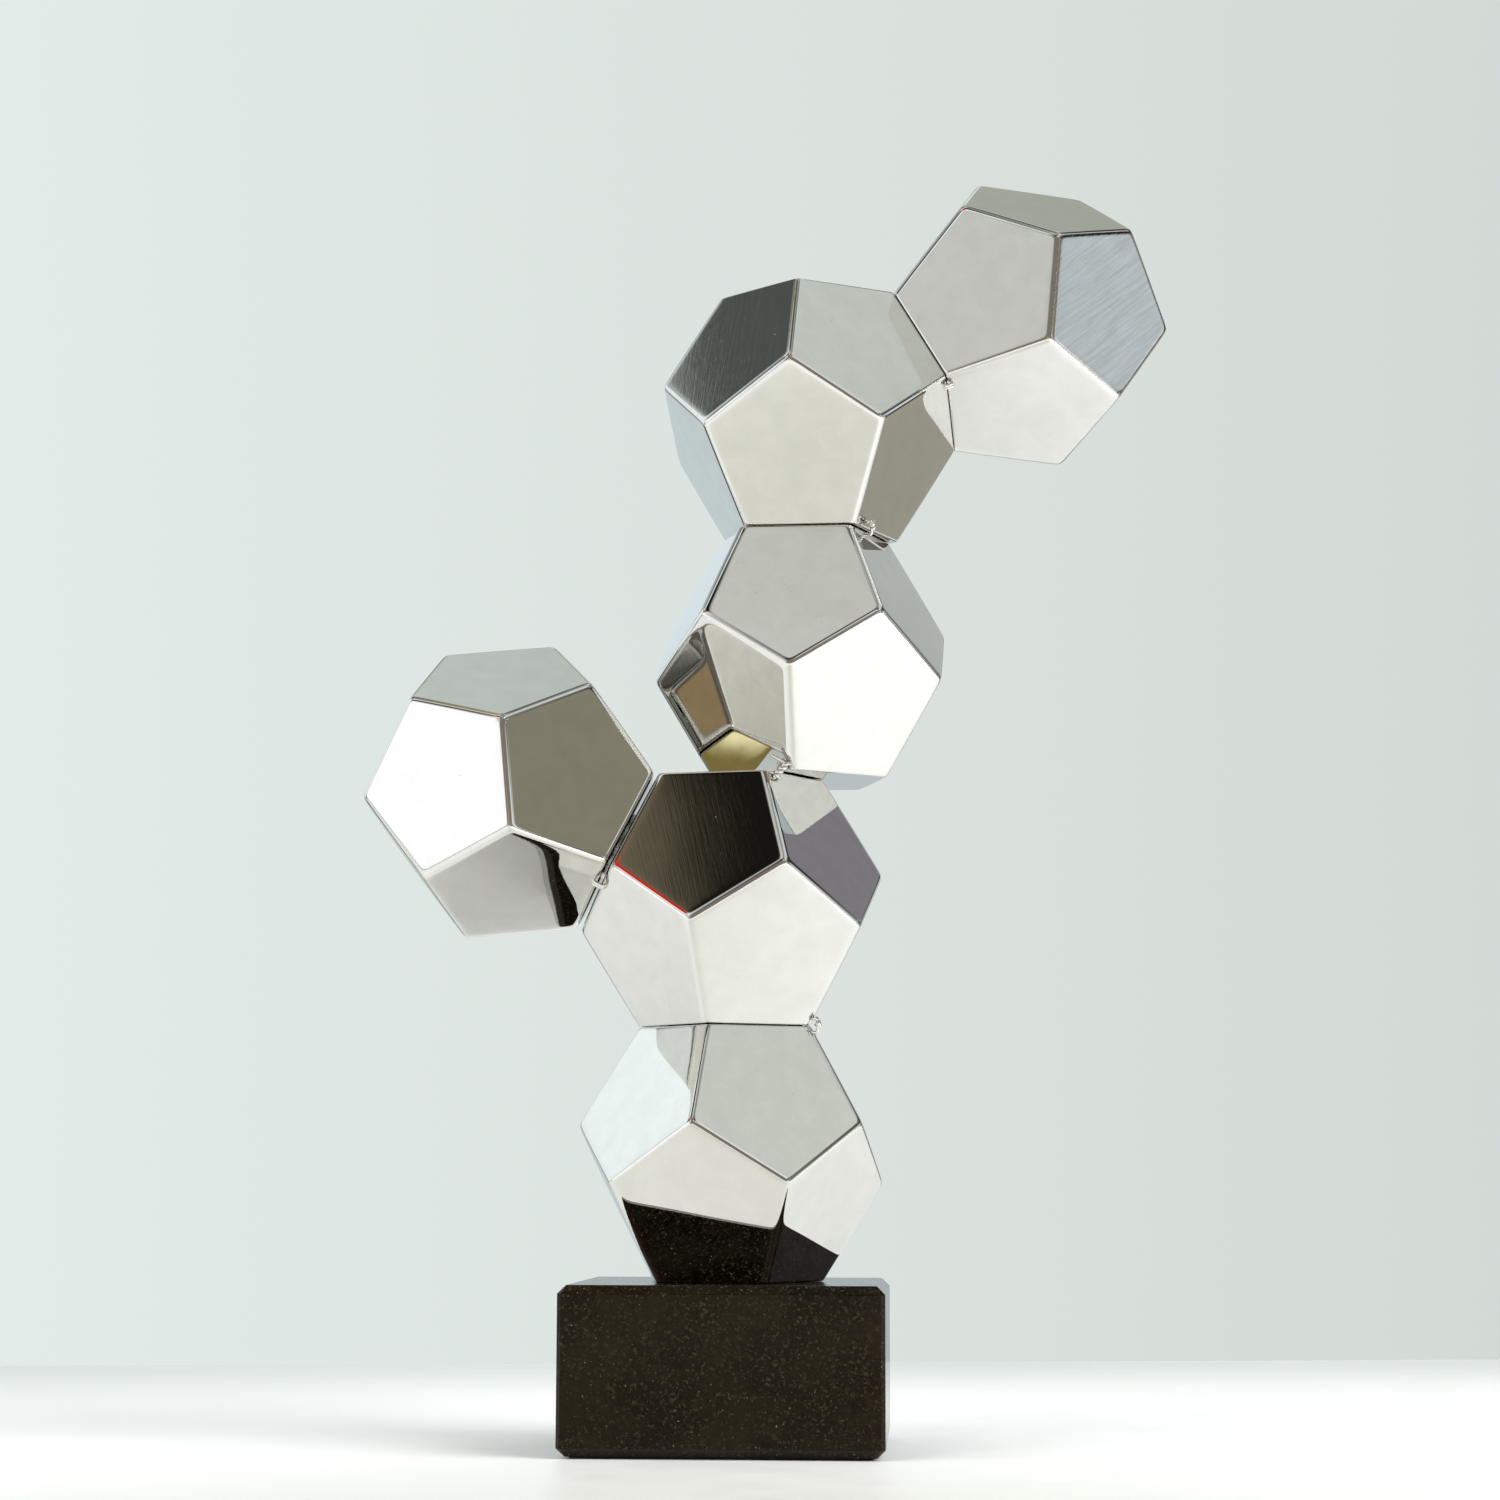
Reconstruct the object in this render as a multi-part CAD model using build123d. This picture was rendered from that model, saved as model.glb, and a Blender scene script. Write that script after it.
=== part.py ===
"""Magnetic desk sculpture: six hollow steel dodecahedra stacked face to face on a granite block.

Millimetres, +Z up. The origin is the centre of the flat underside, where the felt pad meets the table.
The block's sides are parallel to X and Y, and -Y is the front.
"""
import os
from math import cos, pi, radians, sin, sqrt

from build123d import *

# dodecahedra
edge = 28.0  # length of every edge, corner to sharp corner
wall = 1.0  # thickness of the pentagon panels
edge_round = 1.5  # outside radius of the ground and buffed edges
joint_gap = 0.5  # shadow gap between two mating faces
slip = 0.02  # clearance between a magnet cup's rim and the panel it slides on

# granite block, felt pad and the bolt that holds the lowest dodecahedron
base_side = 78.0
base_height = 40.1
base_top_chamfer = 2.0
base_side_chamfer = 1.0
felt_side = 72.0
felt_thick = 0.5
base_gap = 0.2  # thin disc between the granite and the lowest dodecahedron
bolt_r = 3.0
bolt_hole_r = 3.3
bolt_head_r = 5.0
bolt_head_height = 6.0
counterbore_r = 9.0
counterbore_depth = 12.0
washer_r = 8.0
washer_thick = 1.6
spacer_r = 12.0
nut_side = 20.0
nut_thick = 5.0

# pot magnets, one behind each mating panel
cup_r = 9.0
cup_floor = 1.0
magnet_r = 7.0
magnet_thick = 5.0
flange_r = 11.5
flange_thick = 1.0

# tie wires, one at a corner of each joint
wire_r = 0.4
tie_half_height = 2.0  # from the middle of the gap to each leg that enters a shell
tie_bend_r = 0.9
tie_pitch = 0.86  # from strand to strand
twist_pitch = 3.0
tie_clearance = 0.15

# how the pieces are stacked, degrees and millimetres
first_turn = 150.7
waist_turn = -1.0
neck_shift = (17.4, 3.8)
neck_magnet_at = (8.0, -0.5)  # from the centre of the upper piece's face, over the part that overlaps
neck_turn = -25.9
neck_tie_at = (12.46, -16.87)  # where the two mating edges cross, from the lower piece's axis
neck_tie_deg = -79.25
head_shift = (1.9, -0.1)
head_turn = -3.2
left_face_deg = 0.0
right_face_deg = 144.0

# regular dodecahedron, resting on a face, from its edge
face_corner_r = edge / (2 * sin(pi / 5))
face_edge_r = face_corner_r * cos(pi / 5)
belt_corner_r = face_corner_r * (1 + sqrt(5)) / 2
half_height = edge / 2 * sqrt(2.5 + 1.1 * sqrt(5))
belt_height = half_height - face_corner_r
side_tilt_deg = 63.4349488


def corners(scale):
    """Rings of five corners from the bottom face up to the top face, scaled about the centre."""
    rings = []
    for radius, height, turn in (
        (face_corner_r, -half_height, 0),
        (belt_corner_r, -belt_height, 0),
        (belt_corner_r, belt_height, 36),
        (face_corner_r, half_height, 36),
    ):
        ring = []
        for k in range(5):
            angle = radians(turn + 72 * k)
            ring.append(Vector(radius * cos(angle), radius * sin(angle), height) * scale)
        rings.append(ring)
    return rings


def pentagons(scale):
    """Corner loops of the six lower panels and of the six upper panels."""
    bottom, low, high, top = corners(scale)
    lower = [bottom]
    upper = [top]
    for k in range(5):
        n = (k + 1) % 5
        lower.append([bottom[k], bottom[n], low[n], high[k], low[k]])
        upper.append([top[k], top[n], high[n], low[n], high[k]])
    return lower, upper


def solid_from(loops):
    return Solid(Shell([Face(Wire.make_polygon(loop)) for loop in loops]))


def half_wedge(loops, scale):
    """Solid between the centre and a cap of panels, used to part a shell along the zig-zag belt."""
    _, low, high, _ = corners(scale)
    belt = []
    for k in range(5):
        belt += [low[k], high[k]]
    centre = Vector(0, 0, 0)
    sides = [[centre, belt[k], belt[(k + 1) % 10]] for k in range(10)]
    return solid_from(loops + sides)


def half_shells():
    """Lower and upper half of one hollow dodecahedron about its centre."""
    outer_lower, outer_upper = pentagons(1.0)
    outside = solid_from(outer_lower + outer_upper)
    outside = fillet(outside.edges(), edge_round)
    inner_scale = (half_height - wall) / half_height
    inner_lower, inner_upper = pentagons(inner_scale)
    hollow = outside - solid_from(inner_lower + inner_upper)
    wide_lower, wide_upper = pentagons(1.2)
    return hollow & half_wedge(wide_lower, 1.2), hollow & half_wedge(wide_upper, 1.2)


def top_face(body):
    """Frame on a dodecahedron's top face: Z outwards, X towards a corner."""
    return body * Pos(0, 0, half_height) * Rot(0, 0, 36)


def side_face(body, azimuth):
    """Frame on an upper side face: Z outwards, X towards the face's lowest corner."""
    return body * Rot(0, 0, azimuth) * Rot(0, side_tilt_deg, 0) * Pos(0, 0, half_height)


def seated(face):
    """Frame of a dodecahedron whose bottom face mates with the face."""
    return face * Pos(0, 0, joint_gap + half_height)


def seam(face, azimuth, radius, along):
    """Tie frame in the middle of the gap: X outwards across the seam, Z along the face's normal."""
    return face * Pos(0, 0, joint_gap / 2) * Rot(0, 0, azimuth) * Pos(radius, along, 0)


def tie_slots(frame, reach_in, reach_out, strands):
    """Cutters for the holes that a tie passes through in both shells."""
    width = 2 * (wire_r + tie_clearance)
    length = width + tie_pitch * (strands - 1)
    outline = SlotOverall(length, width) if strands > 1 else Circle(width / 2)
    across = Rot(0, 90, 0) * Rot(0, 0, 90)
    start = frame * Pos(-reach_in, 0, -tie_half_height) * Rot(0, 0, 90)
    cutters = [start * extrude(outline, 2 * tie_half_height)]
    for height in (-tie_half_height, tie_half_height):
        start = frame * Pos(-reach_in, 0, height) * across
        cutters.append(start * extrude(outline, reach_in + reach_out))
    return cutters


def swept_wire(path):
    return sweep(Plane(origin=path @ 0, z_dir=path % 0) * Circle(wire_r), path=path)


def group(shapes):
    return Compound([solid for shape in shapes for solid in shape.solids()])


def loop(reach_in, reach_out, offset):
    """One closed turn of wire through both shells."""
    points = []
    for x, z in ((-reach_in, -1), (reach_out, -1), (reach_out, 1), (-reach_in, 1)):
        points.append((x, offset, z * tie_half_height))
    return swept_wire(FilletPolyline(*points, radius=tie_bend_r, close=True))


def double_tie(reach_in, reach_out):
    """Two turns of wire side by side."""
    return group([loop(reach_in, reach_out, -tie_pitch / 2), loop(reach_in, reach_out, tie_pitch / 2)])


def twisted_tie(reach_in, reach_out, root, way, phase, length, both_tails):
    """One turn of wire, and two strands that are twisted together outside the seam and cut to tails."""
    solids = [loop(reach_in, reach_out, 0)]
    axis = Plane(origin=root, z_dir=way)
    for turn, tail in zip((phase, phase + 180), both_tails):
        twist = axis * Rot(0, 0, turn) * Helix(twist_pitch, length, tie_pitch / 2)
        points = [twist @ 1]
        for step in tail:
            points.append(points[-1] + Vector(*step))
        cut = Spline(*points, tangents=(twist % 1, points[-1] - points[-2]))
        solids.append(swept_wire(Wire([*twist.edges(), cut])))
    return group(solids)


def pot_magnet():
    """Cup and magnet in the frame of the mating face, with +Z into the dodecahedron."""
    rim = slip - joint_gap
    depth = magnet_thick + cup_floor
    cup = Pos(0, 0, rim) * extrude(Circle(cup_r), depth)
    cup -= Pos(0, 0, rim) * extrude(Circle(magnet_r + 0.05), magnet_thick)
    ring = Circle(flange_r) - Circle(cup_r - 0.5)
    cup += Pos(0, 0, wall) * extrude(ring, flange_thick)
    magnet = Pos(0, 0, rim) * extrude(Circle(magnet_r), magnet_thick)
    return cup, magnet


def base_parts():
    """Granite block, felt pad and the fixings of the lowest dodecahedron."""
    floor = felt_thick
    head_z = floor + counterbore_depth - washer_thick
    top_z = floor + base_height
    block = Pos(0, 0, floor) * extrude(Rectangle(base_side, base_side), base_height)
    rims = block.edges().group_by(Axis.Z)
    block = chamfer(rims[0] + rims[-1], base_top_chamfer)
    outline = chamfer(Rectangle(base_side, base_side).vertices(), base_side_chamfer)
    block &= Pos(0, 0, floor) * extrude(outline, base_height)
    block -= Pos(0, 0, floor) * extrude(Circle(bolt_hole_r), base_height)
    block -= Pos(0, 0, floor) * extrude(Circle(counterbore_r), counterbore_depth)
    felt = extrude(Rectangle(felt_side, felt_side), felt_thick)
    washer = Pos(0, 0, head_z) * extrude(Circle(washer_r) - Circle(bolt_hole_r), washer_thick)
    spacer = Pos(0, 0, top_z) * extrude(Circle(spacer_r) - Circle(bolt_hole_r), base_gap)
    nut_z = top_z + base_gap + wall
    nut = Pos(0, 0, nut_z) * extrude(Rectangle(nut_side, nut_side) - Circle(bolt_r + 0.05), nut_thick)
    nut = chamfer(nut.edges().filter_by(Axis.Z).sort_by(lambda e: e.center().length)[-4:], 2)
    shank = nut_z + nut_thick + 1 - head_z
    bolt = Pos(0, 0, head_z) * extrude(Circle(bolt_r), shank)
    bolt += Pos(0, 0, head_z - bolt_head_height) * extrude(Circle(bolt_head_r), bolt_head_height)
    socket = Pos(0, 0, head_z - bolt_head_height) * extrude(RegularPolygon(2.9, 6), 3)
    bolt -= socket
    return {
        "base_block": block,
        "felt_pad": felt,
        "base_washer": washer,
        "base_bolt": bolt,
        "spacer_disc": spacer,
        "weld_nut": nut,
    }


base_top = felt_thick + base_height
d1 = Pos(0, 0, base_top + base_gap + half_height) * Rot(0, 0, first_turn)
d2 = seated(top_face(d1)) * Rot(0, 0, waist_turn)
d3 = seated(side_face(d2, left_face_deg))
d4 = Pos(*neck_shift, 0) * seated(top_face(d2)) * Rot(0, 0, neck_turn)
d5 = Pos(*head_shift, 0) * seated(top_face(d4)) * Rot(0, 0, head_turn)
d6 = seated(side_face(d5, right_face_deg))
bodies = {"d1": d1, "d2": d2, "d3": d3, "d4": d4, "d5": d5, "d6": d6}

# each tie: the two dodecahedra, its frame, its reach into and out of the seam
half_edge = edge / 2
neck_middle = d2 * Pos(0, 0, half_height + joint_gap / 2)
neck_cross = Pos(neck_middle.position) * Pos(*neck_tie_at, 0) * Rot(0, 0, neck_tie_deg)
under_d5 = d5 * Pos(0, 0, -half_height - joint_gap)
ties = {
    "tie_a": ("d1", "d2", seam(top_face(d1), 144, face_corner_r, 0), 2.6, 1.8),
    "tie_b": ("d2", "d3", seam(side_face(d2, left_face_deg), 36, face_edge_r, half_edge - 7.2), 2.3, 1.6),
    "tie_c": ("d2", "d4", neck_cross, 3.0, 2.7),
    "tie_d": ("d4", "d5", seam(under_d5, 108, face_edge_r, 7.5 - half_edge), 4.3, 1.6),
    "tie_e": ("d5", "d6", seam(side_face(d5, right_face_deg), -36, face_edge_r, 2.7 - half_edge), 2.3, 1.6),
}
# twisted ties, in the tie's frame: root, direction, phase and length of the twist
twists = {
    "tie_a": ((3.0, -0.1, -0.8), (0.1, 0.2, 0.9), 120, 1.4),
    "tie_c": ((4.4, -1.7, -1.7), (-0.05, 0.7, 0.7), 315, 4.5),
    "tie_d": ((2.8, -0.1, -0.8), (0.1, 0.2, 0.9), 120, 1.84),
}
# steps of the two tails that follow each twist
tails = {
    "tie_a": [[(0, 0.3, 1.2)], [(0.3, 0.2, 1.1)]],
    "tie_c": [[(0.5, -0.6, 1.0), (0.2, -3.0, 1.6)], [(0.2, 0.9, 0.3)]],
    "tie_d": [[(0, 0.3, 1.4)], [(0.3, 0.2, 1.3)]],
}

lower_half, upper_half = half_shells()
cup, magnet = pot_magnet()
parts = base_parts()
for name, body in bodies.items():
    cuts = []
    for tie, (inner, outer, frame, inward, outward) in ties.items():
        if name in (inner, outer):
            cuts += tie_slots(frame, inward, outward, 1 if tie in twists else 2)
    lower = body * lower_half
    upper = body * upper_half
    hole_r = bolt_hole_r if name == "d1" else cup_r + 0.05
    hole_at = neck_magnet_at if name == "d4" else (0, 0)
    lower -= body * Pos(*hole_at, -half_height - 1) * extrude(Circle(hole_r), wall + 2)
    for cut in cuts:
        lower -= cut
        upper -= cut
    parts[name + "_lower_half"] = lower
    parts[name + "_upper_half"] = upper
    if name != "d1":
        mating = body * Pos(*hole_at, -half_height)
        parts[name + "_magnet_cup"] = mating * cup
        parts[name + "_magnet"] = mating * magnet
for name, (_, _, frame, inward, outward) in ties.items():
    if name in twists:
        shape = twisted_tie(inward, outward, *twists[name], tails[name])
    else:
        shape = double_tie(inward, outward)
    parts[name] = frame * shape

os.makedirs("parts", exist_ok=True)
for name, shape in parts.items():
    export_step(shape, f"parts/{name}.step")
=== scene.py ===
"""Looks of the magnetic desk sculpture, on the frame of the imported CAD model.

Shapes are worked out in millimetres and turned into metres by MM. The camera, table and lights are in metres.
"""
import math
import random

import bpy
import numpy as np
from mathutils import Matrix, Vector


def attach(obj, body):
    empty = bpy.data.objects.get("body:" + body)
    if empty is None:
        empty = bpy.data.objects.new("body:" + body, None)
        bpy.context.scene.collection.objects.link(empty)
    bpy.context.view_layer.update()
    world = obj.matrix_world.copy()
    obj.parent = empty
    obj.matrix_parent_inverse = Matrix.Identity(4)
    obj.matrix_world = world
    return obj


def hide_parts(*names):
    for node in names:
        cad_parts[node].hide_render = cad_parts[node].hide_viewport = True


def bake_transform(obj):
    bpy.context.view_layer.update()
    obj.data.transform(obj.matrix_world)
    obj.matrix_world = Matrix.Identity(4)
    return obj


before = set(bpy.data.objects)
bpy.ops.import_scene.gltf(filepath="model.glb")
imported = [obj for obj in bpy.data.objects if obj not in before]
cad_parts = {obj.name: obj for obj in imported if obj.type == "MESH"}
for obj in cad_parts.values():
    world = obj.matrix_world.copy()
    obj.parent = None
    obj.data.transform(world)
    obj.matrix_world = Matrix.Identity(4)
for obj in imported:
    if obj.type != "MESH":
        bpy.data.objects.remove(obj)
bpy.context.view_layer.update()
MM = 0.001

# ------------------------------------------------------------------ the frame, as in the CAD source
EDGE = 28.0
WALL = 1.0
GAP = 0.5
BASE_GAP = 0.2
FACE_R = EDGE / (2 * math.sin(math.pi / 5))
FACE_EDGE_R = FACE_R * math.cos(math.pi / 5)
BELT_R = FACE_R * (1 + math.sqrt(5)) / 2
HALF = EDGE / 2 * math.sqrt(2.5 + 1.1 * math.sqrt(5))
BELT_Z = HALF - FACE_R
SIDE_TILT = 63.4349488
CUP_HOLE_R = 9.05
BASE_SIDE = 78.0
BASE_BOTTOM = 0.5
FELT_SIDE = 72.0
BASE_TOP = 40.6
HOLE_R = 3.3
COUNTERBORE_R = 9.0
COUNTERBORE_DEPTH = 12.0
BASE_CHAMFER = 2.0
BASE_SIDE_CHAMFER = 1.0
FIRST_TURN = 150.7
WAIST_TURN = -1.0
NECK_SHIFT = (17.4, 3.8)
NECK_MAGNET_AT = (8.0, -0.5)  # from the centre of the upper piece's face, over the part that overlaps
NECK_TURN = -25.9
NECK_TIE_AT = (12.46, -16.87)  # where the two mating edges cross, from the lower piece's axis
NECK_TIE_DEG = -79.25
HEAD_SHIFT = (1.9, -0.1)
HEAD_TURN = -3.2
LEFT_FACE_DEG = 0
RIGHT_FACE_DEG = 144


def pos(x, y, z):
    return Matrix.Translation((x, y, z))


def turn(axis, degrees):
    return Matrix.Rotation(math.radians(degrees), 4, axis)


def top_face(body):
    return body @ pos(0, 0, HALF) @ turn("Z", 36)


def side_face(body, azimuth):
    return body @ turn("Z", azimuth) @ turn("Y", SIDE_TILT) @ pos(0, 0, HALF)


def seated(face):
    return face @ pos(0, 0, GAP + HALF)


def seam(face, azimuth, radius, along):
    return face @ pos(0, 0, GAP / 2) @ turn("Z", azimuth) @ pos(radius, along, 0)


D1 = pos(0, 0, BASE_TOP + BASE_GAP + HALF) @ turn("Z", FIRST_TURN)
D2 = seated(top_face(D1)) @ turn("Z", WAIST_TURN)
LEFT_FACE = side_face(D2, LEFT_FACE_DEG)
D3 = seated(LEFT_FACE)
D4 = pos(*NECK_SHIFT, 0) @ seated(top_face(D2)) @ turn("Z", NECK_TURN)
D5 = pos(*HEAD_SHIFT, 0) @ seated(top_face(D4)) @ turn("Z", HEAD_TURN)
RIGHT_FACE = side_face(D5, RIGHT_FACE_DEG)
D6 = seated(RIGHT_FACE)
BODIES = {"d1": D1, "d2": D2, "d3": D3, "d4": D4, "d5": D5, "d6": D6}
NECK = (D2 @ pos(0, 0, HALF + GAP / 2)).translation

# tie: parent body, child body, frame, reach into the seam, reach out of it, half height
TIES = {
    "tie_a": ("base", "d2", seam(top_face(D1), 144, FACE_R, 0), 2.6, 1.35, 1.7),
    "tie_b": ("d2", "d3", seam(LEFT_FACE, 36, FACE_EDGE_R, EDGE / 2 - 7.2), 2.3, 1.15, 1.6),
    "tie_c": ("d2", "d4", pos(*NECK) @ pos(*NECK_TIE_AT, 0) @ turn("Z", NECK_TIE_DEG), 3.0, 2.5, 1.9),
    "tie_d": ("d4", "d5", seam(D5 @ pos(0, 0, -HALF - GAP), 108, FACE_EDGE_R, 7.5 - EDGE / 2), 4.3, 1.2, 1.6),
    "tie_e": ("d5", "d6", seam(RIGHT_FACE, -36, FACE_EDGE_R, 2.7 - EDGE / 2), 2.3, 1.0, 1.2),
}

# ------------------------------------------------------------------ node helpers


class Nodes:
    """Small helper that adds and links nodes of one tree."""

    def __init__(self, tree):
        self.tree = tree
        tree.nodes.clear()

    def add(self, kind, settings=None, **inputs):
        node = self.tree.nodes.new(kind)
        for key, value in (settings or {}).items():
            setattr(node, key, value)
        for key, value in inputs.items():
            self.put(node.inputs[key.replace("_", " ")], value)
        return node

    def put(self, socket, value):
        if isinstance(value, bpy.types.NodeSocket):
            self.tree.links.new(value, socket)
        else:
            socket.default_value = value

    def math(self, operation, a, b):
        node = self.add("ShaderNodeMath", {"operation": operation})
        self.put(node.inputs[0], a)
        self.put(node.inputs[1], b)
        return node.outputs[0]

    def vector(self, operation, a, b=(0, 0, 0)):
        node = self.add("ShaderNodeVectorMath", {"operation": operation})
        self.put(node.inputs[0], a)
        self.put(node.inputs[1], b)
        return node.outputs["Value" if operation in ("DOT_PRODUCT", "DISTANCE") else "Vector"]

    def noise(self, vector, scale, detail=2.0, rough=0.5, distortion=0.0):
        shape = {"Scale": scale, "Detail": detail, "Roughness": rough, "Distortion": distortion}
        return self.add("ShaderNodeTexNoise", Vector=vector, **shape).outputs[0]

    def range(self, value, low, high, to_low=0.0, to_high=1.0, smooth=False):
        node = self.add("ShaderNodeMapRange", {"interpolation_type": "SMOOTHSTEP" if smooth else "LINEAR"})
        names = ("Value", "From Min", "From Max", "To Min", "To Max")
        for key, item in zip(names, (value, low, high, to_low, to_high)):
            self.put(node.inputs[key], item)
        return node.outputs[0]

    def mix(self, factor, a, b, mode="MIX"):
        node = self.add("ShaderNodeMix", {"data_type": "RGBA", "blend_type": mode})
        self.put(node.inputs[0], factor)
        self.put(node.inputs[6], a)
        self.put(node.inputs[7], b)
        return node.outputs[2]

    def ramp(self, value, stops):
        node = self.add("ShaderNodeValToRGB", Fac=value)
        ramp = node.color_ramp
        while len(ramp.elements) < len(stops):
            ramp.elements.new(0.5)
        for element, (place, colour) in zip(ramp.elements, stops):
            element.position = place
            element.color = (*colour, 1)
        return node.outputs[0]

    def bump(self, height, distance, strength=1.0, normal=None):
        node = self.add("ShaderNodeBump", Strength=strength, Distance=distance, Height=height)
        if normal is not None:
            self.put(node.inputs["Normal"], normal)
        return node.outputs[0]

    def principled(self, **inputs):
        shader = self.add("ShaderNodeBsdfPrincipled", **inputs)
        out = self.add("ShaderNodeOutputMaterial")
        self.tree.links.new(shader.outputs[0], out.inputs["Surface"])
        return shader


def material(name):
    mat = bpy.data.materials.new(name)
    mat.use_nodes = True
    return mat, Nodes(mat.node_tree)


def coordinates(n):
    """Object coordinates, which are the object's own frame, in millimetres."""
    where = n.add("ShaderNodeTexCoord").outputs["Object"]
    return n.vector("MULTIPLY", where, (1 / MM,) * 3)


# ------------------------------------------------------------------ materials


def polished_steel():
    """Hand-buffed sheet. The panel attribute holds a place on the panel in x and y, its brushing in z."""
    mat, n = material("polished_steel_sheet")
    mm = coordinates(n)
    panel = n.add("ShaderNodeAttribute", {"attribute_name": "panel"}).outputs["Vector"]
    brushed = n.add("ShaderNodeSeparateXYZ", Vector=panel).outputs["Z"]
    shifted = n.vector("ADD", n.vector("MULTIPLY", panel, (1, 1, 0)), (13.7, -4.2, 0))
    lines = n.noise(n.vector("MULTIPLY", shifted, (0.05, 1.1, 1.0)), 1.0, 4.0, 0.7)
    hair = n.noise(n.vector("MULTIPLY", shifted, (0.15, 6.0, 1.0)), 1.0, 2.0, 0.5)
    cloud = n.noise(mm, 0.06, 3.0, 0.55)
    stain = n.noise(mm, 0.16, 4.0, 0.6, 0.4)
    patch = n.range(cloud, 0.40, 0.60, smooth=True)
    haze = n.math("MULTIPLY", n.range(lines, 0.40, 0.72), n.math("MULTIPLY", brushed, patch))
    rough = n.math("ADD", 0.018, n.math("MULTIPLY", haze, 0.20))
    fine = n.math("MULTIPLY", n.range(hair, 0.5, 0.8), n.math("MULTIPLY", brushed, 0.04))
    rough = n.math("ADD", rough, fine)
    colour = n.mix(n.range(stain, 0.35, 0.7), (0.675, 0.671, 0.641, 1), (0.725, 0.721, 0.689, 1))
    grooves = n.math("ADD", lines, n.math("MULTIPLY", hair, 0.35))
    streak = n.math("MULTIPLY", n.range(grooves, 0.80, 0.50), brushed)
    colour = n.mix(n.math("MULTIPLY", streak, 0.75), colour, (0.40, 0.385, 0.35, 1))
    pits = n.add("ShaderNodeTexVoronoi", Vector=mm, Scale=0.42, Randomness=1.0)
    pit = n.range(pits.outputs["Distance"], 0.045, 0.075, 1.0, 0.0)
    chosen = n.add("ShaderNodeSeparateColor", Color=pits.outputs["Color"]).outputs[0]
    pit = n.math("MULTIPLY", pit, n.range(chosen, 0.93, 0.95))
    swell = n.bump(n.noise(mm, 0.03, 1.0, 0.4), 0.00018, 1.0)
    scratch = n.math("MULTIPLY", n.math("ADD", lines, n.math("MULTIPLY", hair, 0.2)), brushed)
    height = n.math("SUBTRACT", n.math("MULTIPLY", scratch, 9.0), n.math("MULTIPLY", pit, 6.0))
    normal = n.bump(height, 0.0000045, 1.0, swell)
    n.principled(Base_Color=colour, Metallic=1.0, Roughness=rough, Normal=normal)
    return mat


def granite():
    mat, n = material("black_granite_polished")
    mm = coordinates(n)
    bent = n.vector("ADD", mm, n.add("ShaderNodeTexNoise", Vector=mm, Scale=1.6, Detail=2.0).outputs["Color"])
    grain = n.add("ShaderNodeTexVoronoi", Vector=bent, Scale=1.9, Randomness=1.0)
    shade = n.add("ShaderNodeSeparateColor", Color=grain.outputs["Color"])
    small = n.add("ShaderNodeTexVoronoi", Vector=bent, Scale=2.3, Randomness=1.0)
    speck = n.add("ShaderNodeSeparateColor", Color=small.outputs["Color"])
    body = n.ramp(
        shade.outputs[0],
        [
            (0.0, (0.0012, 0.0008, 0.0004)),
            (0.55, (0.0030, 0.0019, 0.0010)),
            (0.85, (0.0080, 0.0058, 0.0031)),
            (1.0, (0.0300, 0.0260, 0.0150)),
        ],
    )
    size = n.range(speck.outputs[2], 0.0, 1.0, 0.18, 0.50)
    core = n.range(n.math("DIVIDE", small.outputs["Distance"], size), 0.55, 1.0, 1.0, 0.0)
    flecks = n.math("MULTIPLY", n.range(speck.outputs[1], 0.95, 0.99), core)
    golden = n.mix(speck.outputs[0], (0.11, 0.085, 0.04, 1), (0.32, 0.32, 0.26, 1))
    cloud = n.noise(mm, 0.09, 3.0, 0.6)
    colour = n.mix(n.math("MULTIPLY", n.range(cloud, 0.42, 0.68), 0.6), body, (0.0120, 0.0095, 0.0055, 1))
    colour = n.mix(n.math("MULTIPLY", flecks, 0.8), colour, golden)
    rough = n.range(shade.outputs[2], 0.0, 1.0, 0.06, 0.16)
    normal = n.bump(shade.outputs[1], 0.000003, 0.6)
    tint = (1.0, 0.80, 0.60, 1)
    n.principled(Base_Color=colour, Roughness=rough, IOR=1.28, Specular_Tint=tint, Normal=normal)
    return mat


def tie_steel():
    mat, n = material("bright_steel_wire")
    mm = coordinates(n)
    drawn = n.noise(mm, 3.0, 3.0, 0.6)
    colour = n.mix(drawn, (0.72, 0.70, 0.66, 1), (0.88, 0.87, 0.84, 1))
    rough = n.range(drawn, 0.3, 0.7, 0.14, 0.26)
    n.principled(Base_Color=colour, Metallic=1.0, Roughness=rough, Normal=n.bump(drawn, 0.00002, 0.6))
    return mat


def plated(name, low, high, rough_low, rough_high, scale):
    """Plated steel of hidden fittings: cloudy plating with fine scratches."""
    mat, n = material(name)
    mm = coordinates(n)
    cloud = n.noise(mm, scale, 4.0, 0.6)
    scuffs = n.noise(n.vector("MULTIPLY", mm, (0.4, 5.0, 5.0)), 1.0, 2.0, 0.5)
    colour = n.mix(cloud, (*low, 1), (*high, 1))
    rough = n.range(n.math("ADD", cloud, n.math("MULTIPLY", scuffs, 0.4)), 0.4, 1.0, rough_low, rough_high)
    n.principled(Base_Color=colour, Metallic=1.0, Roughness=rough, Normal=n.bump(scuffs, 0.00001, 0.5))
    return mat


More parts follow.
